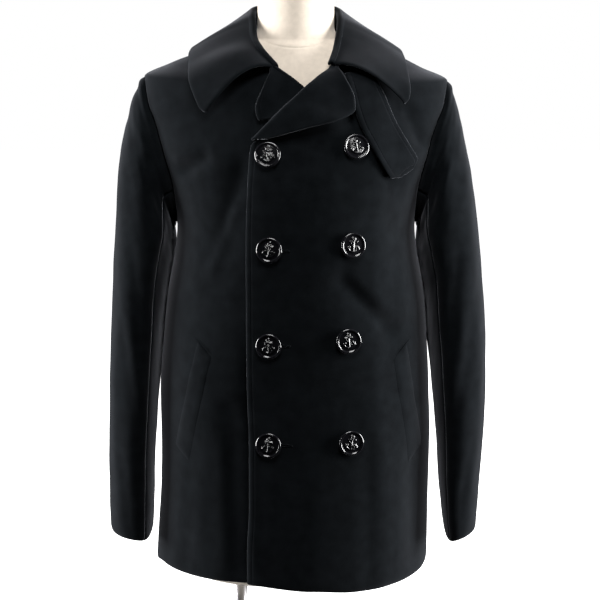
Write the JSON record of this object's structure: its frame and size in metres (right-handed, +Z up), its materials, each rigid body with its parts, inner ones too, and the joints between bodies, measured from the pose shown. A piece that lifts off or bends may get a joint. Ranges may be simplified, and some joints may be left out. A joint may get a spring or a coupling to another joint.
{
  "type": "pea coat on a dress form",
  "caption": "Double-breasted navy wool pea coat with a wide collar, throat latch and slanted pockets, on a limbless linen dress form with a short pole and a round base.",
  "frame": {"origin": "middle of the base plate's underside", "axes": "+Z up, front of the coat towards -Y, the wearer's left towards +X"},
  "size_m": [0.5278, 0.38, 1.042],
  "materials": {
    "navy_melton": "matt felted wool",
    "black_button": "gloss",
    "cream_linen": "matt plain weave",
    "bright_steel": "polished"
  },
  "bodies": {
    "root": {"front_left": "navy_melton", "front_right": "navy_melton", "back_left": "navy_melton", "back_right": "navy_melton", "top_sleeve_left": "navy_melton", "under_sleeve_left": "navy_melton", "top_sleeve_right": "navy_melton", "under_sleeve_right": "navy_melton", "collar": "navy_melton", "lapel_left": "navy_melton", "lapel_right": "navy_melton", "throat_latch": "navy_melton", "pocket_welt_left": "navy_melton", "pocket_welt_right": "navy_melton", "button_1": "black_button", "button_2": "black_button", "button_3": "black_button", "button_4": "black_button", "button_5": "black_button", "button_6": "black_button", "button_7": "black_button", "button_8": "black_button", "dress_form": "cream_linen", "stand_pole": "bright_steel", "stand_base": "bright_steel"}
  },
  "joints": []
}
